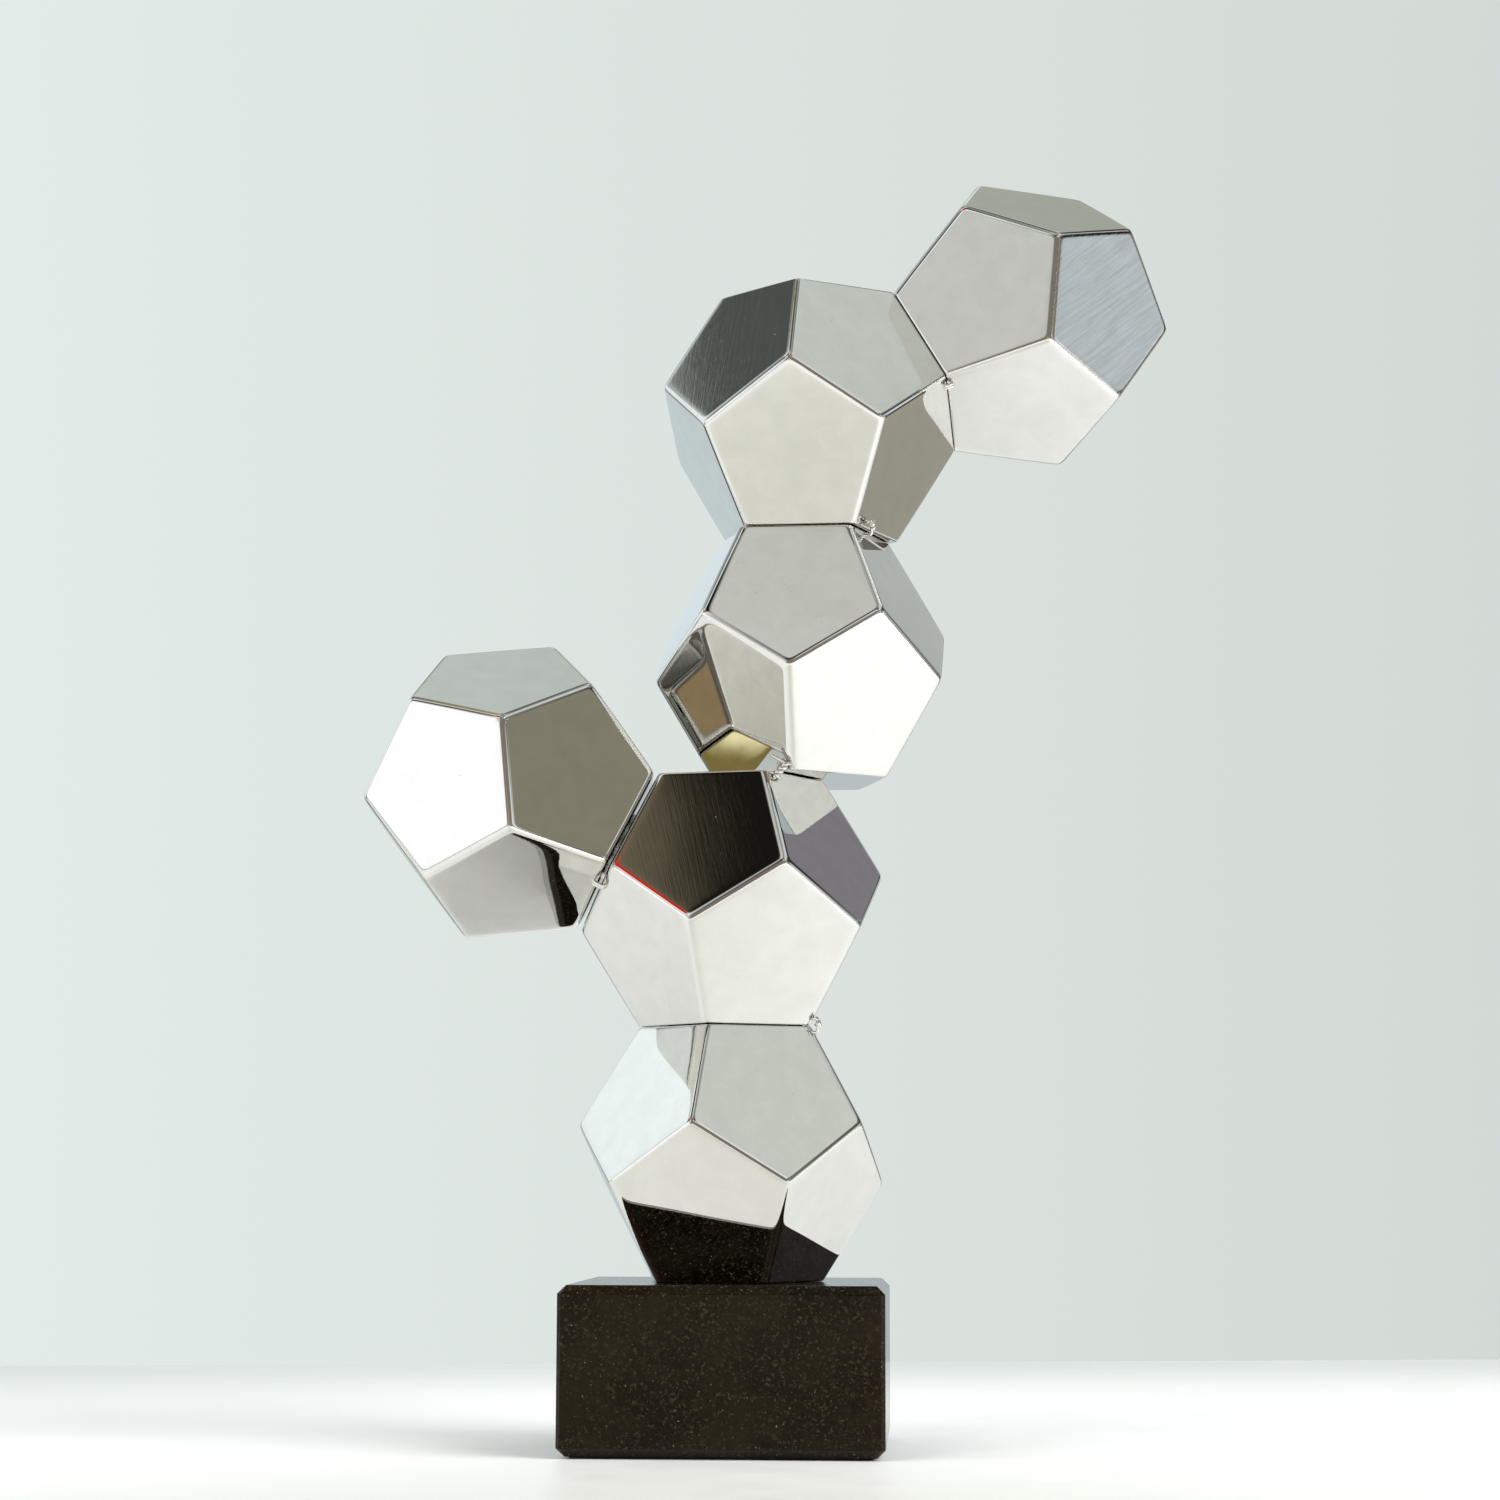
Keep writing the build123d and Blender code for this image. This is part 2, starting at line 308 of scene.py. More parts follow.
def wool_felt():
    mat, n = material("pressed_wool_felt")
    mm = coordinates(n)
    warp = n.vector("ADD", mm, n.add("ShaderNodeTexNoise", Vector=mm, Scale=0.9, Detail=2.0).outputs["Color"])
    fibres = n.noise(n.vector("MULTIPLY", warp, (1.0, 5.0, 3.0)), 2.2, 5.0, 0.65, 1.5)
    crossed = n.noise(n.vector("MULTIPLY", warp, (5.0, 1.0, 3.0)), 2.0, 5.0, 0.65, 1.2)
    clumps = n.noise(mm, 0.35, 3.0, 0.6)
    tangle = n.math("MAXIMUM", fibres, crossed)
    tones = [(0.40, (0.006, 0.006, 0.006)), (0.62, (0.018, 0.017, 0.017)), (0.80, (0.046, 0.044, 0.043))]
    colour = n.ramp(tangle, tones)
    colour = n.mix(n.math("MULTIPLY", n.range(clumps, 0.4, 0.7), 0.4), colour, (0.012, 0.011, 0.011, 1))
    rough = n.range(clumps, 0.3, 0.7, 0.86, 0.98)
    normal = n.bump(tangle, 0.00012, 0.9)
    n.principled(Base_Color=colour, Roughness=rough, Sheen_Weight=0.35, Normal=normal)
    return mat


STEEL = polished_steel()
GRANITE = granite()
WIRE = tie_steel()
FELT = wool_felt()
CUP = plated("zinc_plated_cup", (0.42, 0.43, 0.44), (0.58, 0.58, 0.57), 0.28, 0.45, 0.5)
NICKEL = plated("nickel_plated_magnet", (0.60, 0.58, 0.54), (0.74, 0.72, 0.68), 0.12, 0.25, 0.35)
ZINC = plated("zinc_plated_fixing", (0.40, 0.42, 0.45), (0.60, 0.61, 0.60), 0.25, 0.42, 0.7)

# ------------------------------------------------------------------ meshes


def new_object(name, verts, faces, mat):
    mesh = bpy.data.meshes.new(name)
    mesh.from_pydata(verts, [], faces)
    mesh.materials.append(mat)
    obj = bpy.data.objects.new(name, mesh)
    bpy.context.scene.collection.objects.link(obj)
    return obj


def corner_rings():
    """Rings of five corners, from the bottom face up to the top face."""
    levels = ((FACE_R, -HALF, 0), (BELT_R, -BELT_Z, 0), (BELT_R, BELT_Z, 36), (FACE_R, HALF, 36))
    rings = []
    for radius, height, start in levels:
        ring = []
        for k in range(5):
            angle = math.radians(start + 72 * k)
            ring.append(np.array((radius * math.cos(angle), radius * math.sin(angle), height)))
        rings.append(ring)
    return rings


def panel_loops(lower):
    """Corner loops of the six panels of one half, each anticlockwise from outside; the first lies flat."""
    bottom, low, high, top = corner_rings()
    if lower:
        loops = [bottom[::-1]]
        for k in range(5):
            n = (k + 1) % 5
            loops.append([bottom[k], bottom[n], low[n], high[k], low[k]])
        return loops
    loops = [top]
    for k in range(5):
        n = (k + 1) % 5
        loops.append([top[n], top[k], high[k], low[n], high[n]])
    return loops


CENTRES = [sum(loop) / 5 for lower in (True, False) for loop in panel_loops(lower)]
PLANES = np.array([centre / np.linalg.norm(centre) for centre in CENTRES])
ROUNDING = 2.2  # per millimetre; higher is a sharper edge
MATING_ROUNDING = 6.0  # the same, around the faces that are ground flat for a tight seam
CROWN = 0.16  # how far a buffed panel falls away at its corners
SEAT = 0.18  # how far a ground face stands out, so that its seam lets no light through
BUFFING_STEPS = 6  # rounds that bring a point onto the buffed surface
SAME_FACE = 0.99  # cosine above which a direction picks out a face
FLAT = (0, 0, -1)
TOP = (0, 0, 1)
# directions of the faces that are ground flat, in each body's own frame
MATING = {
    "d1": (FLAT, TOP),
    "d2": (FLAT, TOP),
    "d3": (),
    "d4": (FLAT, TOP),
    "d5": (FLAT, TOP, side_face(Matrix(), RIGHT_FACE_DEG).translation.normalized()),
    "d6": (FLAT,),
}


def smooth_max(values, slopes, sharpness):
    """Rounded maximum along the second axis, and its slope."""
    high = values.max(1, keepdims=True)
    weight = np.exp(sharpness * (values - high))
    total = weight.sum(1, keepdims=True)
    level = high[:, 0] + np.log(total[:, 0]) / sharpness
    return level, (weight[:, :, None] * slopes).sum(1) / total


def buffed(points, mating):
    """Move points of the sharp dodecahedron to the buffed surface, and give the surface's normals."""
    crown = np.where(mating, 0.0, CROWN) / FACE_R**2
    reach = np.where(mating, HALF + SEAT, HALF)
    scale = np.ones(len(points))
    for _ in range(BUFFING_STEPS):
        x = points * scale[:, None]
        depth = x @ PLANES.T
        aside = x[:, None, :] - depth[:, :, None] * PLANES[None]
        value = depth + crown * (aside**2).sum(-1) - reach
        slopes = PLANES[None] + 2 * crown[None, :, None] * aside
        free, free_slope = smooth_max(value[:, ~mating], slopes[:, ~mating], ROUNDING)
        values = np.column_stack([free, value[:, mating]])
        all_slopes = np.concatenate([free_slope[:, None], slopes[:, mating]], axis=1)
        level, gradient = smooth_max(values, all_slopes, MATING_ROUNDING)
        scale -= level / (gradient * points).sum(1)
    x = points * scale[:, None]
    return x, gradient / np.linalg.norm(gradient, axis=1, keepdims=True)


# distances inwards from a panel's rim at which it is sampled, so that the rounded edges are smooth
RIM = (0.0, 0.12, 0.25, 0.4, 0.55, 0.72, 0.9, 1.1, 1.35, 1.7, 2.1, 2.7, 3.6, 5.0, 7.2)
# distances from a corner at which a panel's side is sampled, up to the middle of the side
SIDE = (0.0, 0.15, 0.3, 0.5, 0.72, 1.0, 1.35, 1.8, 2.4, 3.3, 4.8, 7.5, 10.8, 14.0)
HUB = (0.42, 0.2)  # the innermost rings of a closed panel, as shares of the way from its centre to its rim
PANEL_FACING = 0.9  # cosine above which a panel is the one meant
FAINT = (0.0, 0.0, 0.01, 0.02)  # brushing of the other panels, drawn at random

# panels that show their brushing: body, rough direction, lay of the lines from the first corner, strength
BRUSHED = (
    ("d2", (-0.20, -0.88, 0.42), 0.96, 0.22),
    ("d6", (0.71, -0.71, -0.04), 0.7, 0.7),
    ("d5", (-0.59, -0.67, 0.45), 0.9, 0.45),
)


def dodecahedron_half(name, where, lower, hole_at, seed):
    """One half shell: buffed skin, sharp inner skin, and the rim between them along the belt."""
    rng = random.Random(seed)
    side = [s / EDGE for s in SIDE]
    side += [1 - s for s in side[-2:0:-1]]
    points, shares, quads, panels, layout, key = [], [], [], [], [], {}

    def vertex(p, share=1.0):
        tag = tuple(np.round(p, 5))
        if tag not in key:
            key[tag] = len(points)
            points.append(p)
            shares.append(share)
        return key[tag]

    for index, loop in enumerate(panel_loops(lower)):
        centre = sum(loop) / 5
        normal = centre / np.linalg.norm(centre)
        spin = rng.uniform(0, math.pi)
        strength = rng.choice(FAINT)
        outward = where.to_3x3() @ Vector(normal)
        for body, aim, lay, how in BRUSHED:
            if name.startswith(body) and outward.dot(Vector(aim)) > PANEL_FACING:
                spin, strength = lay, how
        along = loop[0] - centre
        along /= np.linalg.norm(along)
        across = np.cross(normal, along)
        axis_x = along * math.cos(spin) + across * math.sin(spin)
        axis_y = np.cross(normal, axis_x)
        layout.append((centre, axis_x, axis_y, strength))
        rim = []
        for s in range(5):
            for v in side:
                rim.append((1 - v) * loop[s] + v * loop[(s + 1) % 5])
        hole = index == 0 and hole_at is not None
        steps = [(FACE_EDGE_R - d) / FACE_EDGE_R for d in RIM]
        if hole:
            middle = np.array((*hole_at, 0.0))
        else:
            steps += HUB
        rings = []
        for t in steps:
            ring = []
            # 1 at the rim of the panel and 0 at the rim of its hole
            share = (t - steps[-1]) / (1 - steps[-1]) if hole else 1.0
            for p in rim:
                out = p - centre
                if hole:
                    from_middle = out - middle
                    round_out = middle + from_middle / np.linalg.norm(from_middle) * CUP_HOLE_R
                    out = round_out * (1 - share) + out * share
                else:
                    out = out * t
                ring.append(vertex(centre + out, share))
            rings.append(ring)
        count = len(rim)
        for outer, inner in zip(rings, rings[1:]):
            for k in range(count):
                n = (k + 1) % count
                quads.append((outer[k], outer[n], inner[n], inner[k]))
                panels.append(index)
        if not hole:
            hub = vertex(centre)
            for k in range(count):
                quads.append((rings[-1][k], rings[-1][(k + 1) % count], hub))
                panels.append(index)

    sharp = np.array(points)
    ground = [np.array(way) for way in MATING[name[:2]]]
    mating = np.array([any(plane @ way > SAME_FACE for way in ground) for plane in PLANES])
    skin, normals = buffed(sharp, mating)
    # the inner skin is the sharp shape made smaller, except that a hole goes straight through the wall
    shrink = (HALF - WALL) / HALF
    inside = sharp * shrink
    keep = 1 - (1 - shrink) * np.array(shares)
    inside[:, :2] = sharp[:, :2] * keep[:, None]
    count = len(points)
    # edges with a face on one side only, in order: the belt, and the rim of the hole
    open_edges = {}
    for quad in quads:
        for a, b in zip(quad, quad[1:] + quad[:1]):
            if (b, a) in open_edges:
                del open_edges[(b, a)]
            else:
                open_edges[(a, b)] = True
    faces = list(quads)
    faces += [tuple(i + count for i in reversed(q)) for q in quads]
    faces += [(b, a, a + count, b + count) for a, b in open_edges]
    place = np.array(where.to_3x3())
    shift = np.array(where.translation)
    verts = (np.vstack([skin, inside]) @ place.T + shift) * MM
    obj = new_object(name, verts.tolist(), faces, STEEL)
    mesh = obj.data
    outer = len(quads)
    vertex_of = np.array([i for face in faces for i in face]) % count
    face_of = np.repeat(np.arange(len(faces)), [len(face) for face in faces])
    panel_of = np.array(panels)[np.where(face_of < 2 * outer, face_of % outer, 0)]
    centres, axes_x, axes_y, strengths = (np.array(column)[panel_of] for column in zip(*layout))
    offsets = sharp[vertex_of] - centres
    labels = np.column_stack([(offsets * axes_x).sum(1), (offsets * axes_y).sum(1), strengths])
    attribute = mesh.attributes.new("panel", "FLOAT_VECTOR", "CORNER")
    attribute.data.foreach_set("vector", labels.astype(np.float32).ravel())
    flat = np.empty(3 * len(faces), dtype=np.float32)
    mesh.polygons.foreach_get("normal", flat)
    on_skin = (face_of < outer)[:, None]
    corner_normals = np.where(on_skin, (normals @ place.T)[vertex_of], flat.reshape(-1, 3)[face_of])
    mesh.polygons.foreach_set("use_smooth", [True] * len(faces))
    mesh.normals_split_custom_set(corner_normals.tolist())
    return obj


WIRE_SIDES = 14
# rings of a wire's rounded end: how far beyond the line they lie, and their size, as shares of its radius
CAPS = ((0.25, 0.97), (0.55, 0.83), (0.8, 0.6), (0.95, 0.31))


def tube(pts, radius, closed):
    """Vertices and faces of a round wire through the points, with rounded ends if it is open."""
    count = len(pts)
    tangents = []
    for i in range(count):
        ahead = pts[(i + 1) % count] if closed or i < count - 1 else pts[i]
        behind = pts[i - 1] if closed or i > 0 else pts[i]
        tangents.append((ahead - behind).normalized())
    across = tangents[0].orthogonal().normalized()
    verts, faces, rings = [], [], []

    def add_ring(centre, tangent, r):
        ring = []
        second = tangent.cross(across).normalized()
        for k in range(WIRE_SIDES):
            angle = 2 * math.pi * k / WIRE_SIDES
            ring.append(len(verts))
            verts.append(centre + (across * math.cos(angle) + second * math.sin(angle)) * r)
        rings.append(ring)

    if not closed:
        for beyond, size in reversed(CAPS):
            add_ring(pts[0] - tangents[0] * radius * beyond, tangents[0], radius * size)
    for centre, tangent in zip(pts, tangents):
        across = (across - tangent * across.dot(tangent)).normalized()
        add_ring(centre, tangent, radius)
    if not closed:
        for beyond, size in CAPS:
            add_ring(pts[-1] + tangents[-1] * radius * beyond, tangents[-1], radius * size)
    if closed:
        # turn the first ring's numbering to meet the last one without a twist
        last = rings[-1]
        offset = min(range(WIRE_SIDES), key=lambda k: (verts[rings[0][k]] - verts[last[0]]).length)
        rings.append(rings[0][offset:] + rings[0][:offset])
    for a, b in zip(rings, rings[1:]):
        for k in range(WIRE_SIDES):
            n = (k + 1) % WIRE_SIDES
            faces.append((a[k], a[n], b[n], b[k]))
    if not closed:
        faces.append(tuple(reversed(rings[0])))
        faces.append(tuple(rings[-1]))
    return verts, faces


LINE_STEP = 0.12  # between the points of a smooth line


def smooth_line(points):
    """Catmull-Rom line through the points."""
    pts = [points[0] * 2 - points[1]] + points + [points[-1] * 2 - points[-2]]
    line = []
    for p0, p1, p2, p3 in zip(pts, pts[1:], pts[2:], pts[3:]):
        bend = 2 * p0 - 5 * p1 + 4 * p2 - p3
        twist = 3 * p1 - p0 - 3 * p2 + p3
        pieces = max(2, int((p2 - p1).length / LINE_STEP))
        for i in range(pieces):
            t = i / pieces
            line.append(0.5 * (2 * p1 + (p2 - p0) * t + bend * t**2 + twist * t**3))
    line.append(pts[-2])
    return line


LOOP_BEND_R = 0.9
LOOP_BEND_STEPS = 8
LOOP_BOW = 0.12  # how far the outer leg of a loop bows out


def loop_line(reach_in, reach_out, half, offset):
    """One closed turn of wire: a rounded rectangle, its outer leg pulled slightly round."""
    bend = LOOP_BEND_R
    line = []
    for corner_x, corner_z, start in (
        (reach_out - bend, half - bend, 0),
        (bend - reach_in, half - bend, 90),
        (bend - reach_in, bend - half, 180),
        (reach_out - bend, bend - half, 270),
    ):
        for k in range(LOOP_BEND_STEPS + 1):
            angle = math.radians(start + 90 * k / LOOP_BEND_STEPS)
            out, up = bend * math.cos(angle), bend * math.sin(angle)
            line.append(Vector((corner_x + out, offset, corner_z + up)))
    for p in line:
        if p.x > reach_out - bend:
            p.x += LOOP_BOW * (1 - (p.z / half) ** 2)
    return line


WIRE_R = 0.43
TWIST_R = 0.45
TWIST_PITCH = 2.6
TURN_STEPS = 10  # points in each turn of a twist

# in the tie's frame: root, direction, phase and length of the twist, and the steps of its two tails
TWISTS = {
    "tie_a": ((1.55, 0, -0.1), (0.40, -0.62, 0.55), 60, 1.3, [[(0, -0.2, 0.5)], [(0.1, 0.2, 0.6)]]),
    "tie_c": (
        (3.7, -1.2, -1.5),
        (-0.05, 0.7, 0.7),
        315,
        3.6,
        [[(0.4, -0.6, 1.0), (0.2, -3.0, 1.6)], [(0.1, 0.6, 0.2)]],
    ),
    "tie_d": ((1.55, 0, -0.3), (0.35, -0.50, 0.70), 60, 1.5, [[(0, -0.1, 0.6)], [(0.2, 0.2, 0.5)]]),
}


def twisted_line(reach_in, reach_out, half, root, way, phase, length, tails):
    """One wire through both shells, whose ends are twisted together outside and cut to two tails."""
    axis = Vector(way).normalized()
    first = axis.orthogonal().normalized()
    second = axis.cross(first)
    strands = []
    for side, tail in zip((0, math.pi), tails):
        points = []
        steps = max(3, int(length / TWIST_PITCH * TURN_STEPS))
        for i in range(steps + 1):
            angle = math.radians(phase) + side + 2 * math.pi * length / TWIST_PITCH * i / steps
            spoke = (first * math.cos(angle) + second * math.sin(angle)) * TWIST_R
            points.append(Vector(root) + axis * (length * i / steps) + spoke)
        for step in tail:
            points.append(points[-1] + Vector(step))
        strands.append(points)
    if strands[0][0].z > strands[1][0].z:
        strands.reverse()
    # in through the lower shell, round the back, and out through the upper one
    inside = []
    for x, z in ((reach_out, -1), (reach_out - 1, -1), (0.6 - reach_in, -0.9), (-reach_in, 0)):
        inside.append(Vector((x, 0, z * half)))
    for x, z in ((0.6 - reach_in, 0.9), (reach_out - 1, 1), (reach_out, 1)):
        inside.append(Vector((x, 0, z * half)))
    return smooth_line(strands[0][::-1] + inside + strands[1])


BLEND_REACH = 1.6  # from the middle of the seam, along its normal


def build_tie(name):
    """Bend a tie's wire across its seam, in place of the CAD's tie."""
    parent, child, where, reach_in, reach_out, half = TIES[name]
    if name in TWISTS:
        wires = [(twisted_line(reach_in, reach_out, half, *TWISTS[name]), False)]
    else:
        wires = [(loop_line(reach_in, reach_out, half, offset), True) for offset in (-WIRE_R, WIRE_R)]
    verts, faces = [], []
    for line, closed in wires:
        more, shape = tube(line, WIRE_R, closed)
        start = len(verts)
        verts += more
        faces += [tuple(i + start for i in f) for f in shape]
    placed = [tuple((where @ v) * MM) for v in verts]
    obj = new_object(name + "_wire", placed, faces, WIRE)
    for polygon in obj.data.polygons:
        polygon.use_smooth = True
    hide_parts(name)
    normal = where.to_3x3() @ Vector((0, 0, 1))
    start = (where.translation - normal * BLEND_REACH) * MM
    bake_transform(obj)


TOP_CORNER_CHAMFER = 0.3  # what is left of the side chamfer at the block's top and bottom faces
BOLT_HOLE_SIDES = 48
ARRIS = 0.16  # width of the broken edges
ARRIS_ANGLE = 20  # degrees between two faces, above which their edge is broken


def chamfered_block(name):
    """Granite block: flat polished chamfers with just broken arrises, and the stepped hole for the bolt."""
    half = BASE_SIDE / 2
    rows = (
        (BASE_BOTTOM, half - BASE_CHAMFER, TOP_CORNER_CHAMFER),
        (BASE_BOTTOM + BASE_CHAMFER, half, BASE_SIDE_CHAMFER),
        (BASE_TOP - BASE_CHAMFER, half, BASE_SIDE_CHAMFER),
        (BASE_TOP, half - BASE_CHAMFER, TOP_CORNER_CHAMFER),
    )
    verts = []
    for z, h, c in rows:
        for sx, sy, first in ((1, 1, 0), (-1, 1, 1), (-1, -1, 0), (1, -1, 1)):
            pair = [(sx * h, sy * (h - c), z), (sx * (h - c), sy * h, z)]
            verts += pair[::-1] if first else pair
    faces = []
    for row in range(3):
        for k in range(8):
            n = (k + 1) % 8
            faces.append((row * 8 + k, row * 8 + n, row * 8 + 8 + n, row * 8 + 8 + k))
    sides = BOLT_HOLE_SIDES
    step_z = BASE_BOTTOM + COUNTERBORE_DEPTH
    bore = ((BASE_BOTTOM, COUNTERBORE_R), (step_z, COUNTERBORE_R), (step_z, HOLE_R), (BASE_TOP, HOLE_R))
    rings = []
    for z, radius in bore:
        rings.append([len(verts) + k for k in range(sides)])
        for k in range(sides):
            angle = 2 * math.pi * k / sides
            verts.append((radius * math.cos(angle), radius * math.sin(angle), z))
    for low, high in zip(rings, rings[1:]):
        for k in range(sides):
            n = (k + 1) % sides
            faces.append((low[k], high[k], high[n], low[n]))
    # the bottom and top faces, in pieces that run from the hole's rim to the nearest of the eight corners
    for outer, ring, upward in ((0, rings[0], False), (24, rings[3], True)):
        ends = [Vector(verts[outer + c]).xy for c in range(8)]
        corners = [max(range(8), key=lambda c: Vector(verts[i]).xy.dot(ends[c])) for i in ring]
        for k in range(sides):
            n = (k + 1) % sides
            shape = [ring[n], ring[k], outer + corners[k]]
            step = corners[k]
            while step != corners[n]:
                step = (step + 1) % 8
                shape.append(outer + step)
            faces.append(tuple(shape if upward else reversed(shape)))
    obj = new_object(name, [tuple(c * MM for c in v) for v in verts], faces, GRANITE)
    bevel = obj.modifiers.new("arris", "BEVEL")
    bevel.width = ARRIS * MM
    bevel.segments = 3
    bevel.limit_method = "ANGLE"
    bevel.angle_limit = math.radians(ARRIS_ANGLE)
    bevel.harden_normals = True
    for polygon in obj.data.polygons:
        polygon.use_smooth = True
    return obj


FELT_CELLS = 48
FELT_RAGGED = (0.0005, 0.004)  # how far the cut edge draws in, as a share of its distance from the middle
FELT_NAP = 0.03  # unevenness of the felt's two faces
FELT_PRESSED = 0.09  # how far each face is pressed in at the cut edge


def felt_sheet(name):
    """Die-cut felt glued under the block: a thin soft sheet with a slightly ragged, pressed edge."""
    rng = random.Random(5)
    half = FELT_SIDE / 2
    cells = FELT_CELLS
    verts, faces = [], []
    for top in (False, True):
        for j in range(cells + 1):
            for i in range(cells + 1):
                x = -half + FELT_SIDE * i / cells
                y = -half + FELT_SIDE * j / cells
                rim = i in (0, cells) or j in (0, cells)
                if rim:
                    pull = 1 - rng.uniform(*FELT_RAGGED)
                    x, y = x * pull, y * pull
                thick = BASE_BOTTOM if top else 0.0
                soft = rng.uniform(0.0, FELT_NAP) + (FELT_PRESSED if rim else 0.0)
                verts.append((x, y, thick - soft if top else soft))
    row = cells + 1
    layer = row * row
    for j in range(cells):
        for i in range(cells):
            a = j * row + i
            faces.append((a, a + row, a + row + 1, a + 1))
            faces.append((a + layer, a + 1 + layer, a + row + 1 + layer, a + row + layer))
    edge = list(range(cells))
    edge += [j * row + cells for j in range(cells)]
    edge += [cells * row + i for i in range(cells, 0, -1)]
    edge += [j * row for j in range(cells, 0, -1)]
    for a, b in zip(edge, edge[1:] + edge[:1]):
        faces.append((a, b, b + layer, a + layer))
    obj = new_object(name, [tuple(c * MM for c in v) for v in verts], faces, FELT)
    for polygon in obj.data.polygons:
        polygon.use_smooth = True
    return obj


# ------------------------------------------------------------------ pieces, and the bodies that they ride on

for number, (body, where) in enumerate(BODIES.items()):
    rides = "base" if body == "d1" else body
    for half, lower in (("lower", True), ("upper", False)):
        name = f"{body}_{half}_half"
        hole_at = None if body == "d1" or not lower else NECK_MAGNET_AT if body == "d4" else (0.0, 0.0)
        shell = dodecahedron_half(name + "_buffed", where, lower, hole_at, 2 * number + (not lower))
        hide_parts(name)
        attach(shell, rides)

for name in TIES:
    build_tie(name)

block = chamfered_block("granite_block")
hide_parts("base_block")
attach(block, "base")

felt = felt_sheet("felt_sheet")
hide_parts("felt_pad")
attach(felt, "base")

# looks of the CAD's own nodes, by the ending of their names; the ties are the rest
LOOKS = {
    "_magnet_cup": CUP,
    "_magnet": NICKEL,
    "base_bolt": ZINC,
    "base_washer": ZINC,
    "spacer_disc": ZINC,
    "weld_nut": ZINC,
    "_half": STEEL,
    "base_block": GRANITE,
    "felt_pad": FELT,
}
for name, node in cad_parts.items():
    look = next((mat for ending, mat in LOOKS.items() if name.endswith(ending)), WIRE)
    for slot in node.material_slots:
        slot.material = look

# ------------------------------------------------------------------ camera

CAMERA_AT = (0.0505, -0.8062, 0.0632)
CAMERA_HEADING = 3.27
CAMERA_PITCH = 7.81  # degrees above level
CAMERA_ROLL = 0.16
camera_data = bpy.data.cameras.new("camera")
camera = bpy.data.objects.new("camera", camera_data)
bpy.context.scene.collection.objects.link(camera)
camera_data.sensor_width = 36
camera_data.lens = 76.9
camera_data.clip_start = 0.01
camera_data.clip_end = 50
heading, pitch, roll = turn("Z", CAMERA_HEADING), turn("X", 90 + CAMERA_PITCH), turn("Z", CAMERA_ROLL)
camera.matrix_world = pos(*CAMERA_AT) @ heading @ pitch @ roll
bpy.context.scene.camera = camera

# ------------------------------------------------------------------ table, lights and surroundings

TABLE_SIDE = 2.4  # metres from the middle to the near and side edges
TABLE_FAR = ((TABLE_SIDE, 0.856), (-TABLE_SIDE, -0.066))  # ends of the table's far edge, metres
TABLE_THICK = 0.03  # metres
TABLE_FADE = 260  # how far in from the far edge the table's colour is painted darker, down to the wall's tone
PAINTED_SHADE_AT = (0, -260, 0)  # where the table's colour is painted darker as a shade in front of the object, as if shaded by whoever looks at it
PAINTED_SHADE_R = (330, 60)  # where that painted shade begins, and where it is full


def table_top():
    mat, n = material("white_table")
    mm = coordinates(n)
    grain = n.noise(mm, 0.05, 4.0, 0.6)
    colour = n.mix(grain, (0.83, 0.835, 0.825, 1), (0.87, 0.875, 0.865, 1))
    # distance in front of the far edge
    edge_x, edge_y = TABLE_FAR[0][0] - TABLE_FAR[1][0], TABLE_FAR[0][1] - TABLE_FAR[1][1]
    long = math.hypot(edge_x, edge_y)
    inward = (edge_y / long, -edge_x / long, 0)
    far = Vector(inward).dot((*TABLE_FAR[0], 0)) / MM
    reach = n.math("SUBTRACT", n.vector("DOT_PRODUCT", mm, inward), far)
    # painted shade: the table's colour darkens towards its far edge into the wall's tone
    fade = n.range(reach, TABLE_FADE, 0, smooth=True)
    colour = n.mix(fade, colour, (0.60, 0.63, 0.62, 1))
    # painted shade: the table's colour darkens in front of the object
    shade = n.range(n.vector("DISTANCE", mm, PAINTED_SHADE_AT), *PAINTED_SHADE_R, smooth=True)
    colour = n.mix(shade, colour, (0.60, 0.60, 0.56, 1))
    rough = n.range(grain, 0.2, 0.8, 0.35, 0.5)
    n.principled(Base_Color=colour, Roughness=rough, Normal=n.bump(grain, 0.00005, 0.3))
    near = [(-TABLE_SIDE, -TABLE_SIDE), (TABLE_SIDE, -TABLE_SIDE)]
    verts = [(x, y, 0) for x, y in (*near, *TABLE_FAR)]
    low = [(x, y, -TABLE_THICK) for x, y, _ in verts]
    faces = [(0, 1, 2, 3), (7, 6, 5, 4), (0, 4, 5, 1), (1, 5, 6, 2), (2, 6, 7, 3), (3, 7, 4, 0)]
    top = new_object("table", verts + low, faces, mat)


def direction(azimuth, elevation):
    a, e = math.radians(azimuth), math.radians(elevation)
    return (math.cos(e) * math.cos(a), math.cos(e) * math.sin(a), math.sin(e))


def linear(r, g, b):
    """Linear colour of an 8-bit screen colour."""
    return tuple((c / 255 / 12.92) if c < 11 else ((c / 255 + 0.055) / 1.055) ** 2.4 for c in (r, g, b))


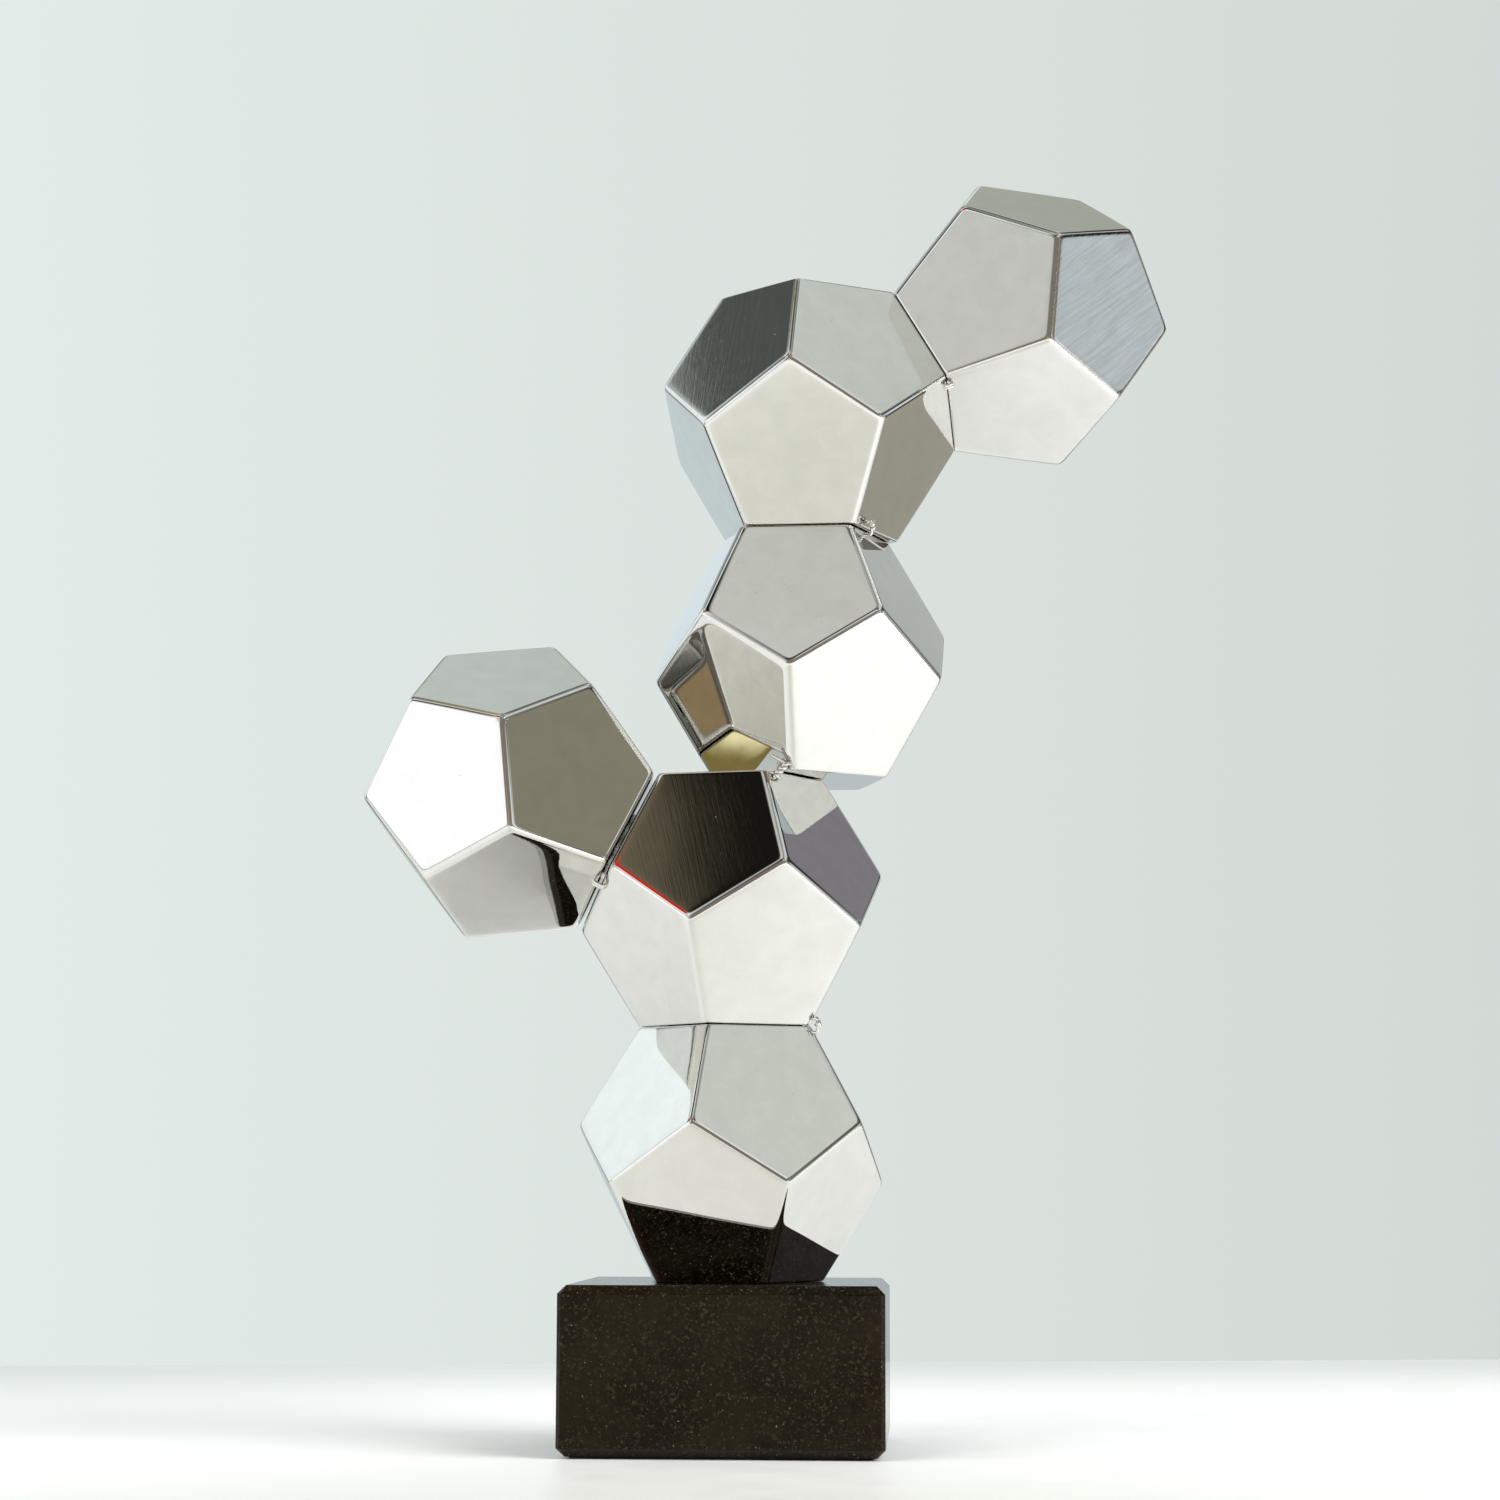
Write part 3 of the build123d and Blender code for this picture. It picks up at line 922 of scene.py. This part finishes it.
# the room as it looks in the steel: azimuth, elevation, half angle and softness in degrees, screen colour
# later ones lie on top
ROOM = [
    (-90, 0, 40, 14, (120, 112, 102)),
    (160, 22, 24, 6, (228, 237, 234)),
    (-150, 3, 22, 7, (255, 255, 255)),
    (-100, -1, 7, 3, (184, 160, 124)),
    (-128, 21, 12, 4, (187, 188, 182)),
    (-30, 50, 14, 4, (198, 201, 192)),
    (-1, 56, 12, 4, (189, 194, 187)),
    (172, 76, 10, 3, (158, 140, 84)),
    (175, 76.5, 1.0, 1.6, (300, 290, 232)),
    (-103, 64, 11, 3, (186, 187, 179)),
    (-133, 57, 10, 3, (22, 20, 16)),
    (-144, 50, 7.7, 2.5, (102, 94, 76)),
    (-144.5, 51, 3.2, 0.6, (208, 46, 26)),
    (-139.5, 43.5, 6, 0.8, (200, 44, 26)),
    (157, 49, 9, 3, (76, 80, 77)),
    (153, 37.5, 4.2, 2, (165, 172, 168)),
    (105, 54, 13, 4, (177, 184, 177)),
    (104, 16, 11, 4, (192, 202, 203)),
    (118, 2, 11, 4, (181, 191, 190)),
    (66, 23, 11, 4, (163, 168, 163)),
    (44, 29, 8, 3, (122, 120, 124)),
    (81, 41, 9, 3, (153, 156, 144)),
    (-21, 12, 11, 3, (126, 122, 106)),
    (1, 12, 9, 3, (181, 190, 193)),
    (42, -6, 12, 4, (150, 147, 134)),
    (90, -6, 16, 5, (168, 176, 174)),
]
STEEL_SHINE = (0.70, 0.696, 0.665)  # what the steel reflects; the room is that much brighter


def surroundings():
    """The room, as soft patches of tone seen only in reflections, and the plain wall that the camera sees."""
    world = bpy.data.worlds.new("room")
    bpy.context.scene.world = world
    world.use_nodes = True
    n = Nodes(world.node_tree)
    way = n.vector("NORMALIZE", n.add("ShaderNodeTexCoord").outputs["Generated"])
    up = n.add("ShaderNodeSeparateXYZ", Vector=way).outputs["Z"]
    plain = n.mix(n.range(up, -0.1, 0.9), (*linear(96, 92, 84), 1), (*linear(128, 132, 128), 1))
    things = n.noise(way, 3.1, 2.0, 0.55)
    dark = n.mix(n.range(things, 0.48, 0.41), plain, (*linear(38, 33, 28), 1))
    colour = n.mix(n.range(things, 0.52, 0.60), dark, (*linear(228, 232, 229), 1))
    for azimuth, elevation, spread, soft, shade in ROOM:
        near = n.vector("DOT_PRODUCT", way, direction(azimuth, elevation))
        outer = math.cos(math.radians(spread + soft))
        inner = math.cos(math.radians(max(spread - soft, 1)))
        colour = n.mix(n.range(near, outer, inner, smooth=True), colour, (*linear(*shade), 1))
    drift = n.range(n.noise(way, 2.3, 2.0), 0.3, 0.7, 0.93, 1.07)
    colour = n.mix(1.0, colour, (*[1 / shine for shine in STEEL_SHINE], 1), "MULTIPLY")
    room = n.add("ShaderNodeBackground", Color=colour, Strength=drift)
    aside = n.add("ShaderNodeSeparateXYZ", Vector=way).outputs["X"]
    wall = n.mix(n.range(aside, -0.28, 0.20), (*linear(227, 235, 232), 1), (*linear(210, 217, 213), 1))
    seen = n.add("ShaderNodeBackground", Color=wall, Strength=1.0)
    switch = n.add("ShaderNodeMixShader")
    n.put(switch.inputs[0], n.add("ShaderNodeLightPath").outputs["Is Camera Ray"])
    n.put(switch.inputs[1], room.outputs[0])
    n.put(switch.inputs[2], seen.outputs[0])
    out = n.add("ShaderNodeOutputWorld")
    n.put(out.inputs["Surface"], switch.outputs[0])


def soft_light(name, place, aim, size, power, tint):
    data = bpy.data.lights.new(name, "AREA")
    data.shape = "DISK"
    data.size = size
    data.energy = power
    data.color = tint
    lamp = bpy.data.objects.new(name, data)
    bpy.context.scene.collection.objects.link(lamp)
    lamp.location = place
    lamp.rotation_euler = (Vector(place) - Vector(aim)).to_track_quat("Z", "Y").to_euler()
    lamp.visible_camera = False
    lamp.visible_glossy = False


table_top()
surroundings()
soft_light("key", (-1.0, -0.9, 1.3), (0, 0, 0.15), 1.4, 18, (1.0, 0.99, 0.97))
soft_light("fill", (1.2, -0.6, 1.1), (0, 0, 0.15), 1.4, 36, (0.98, 0.99, 1.0))
soft_light("back", (0.9, 1.2, 1.2), (0.1, 0.2, 0), 1.4, 6, (0.99, 1.0, 1.0))
bpy.context.scene.view_settings.view_transform = "Standard"
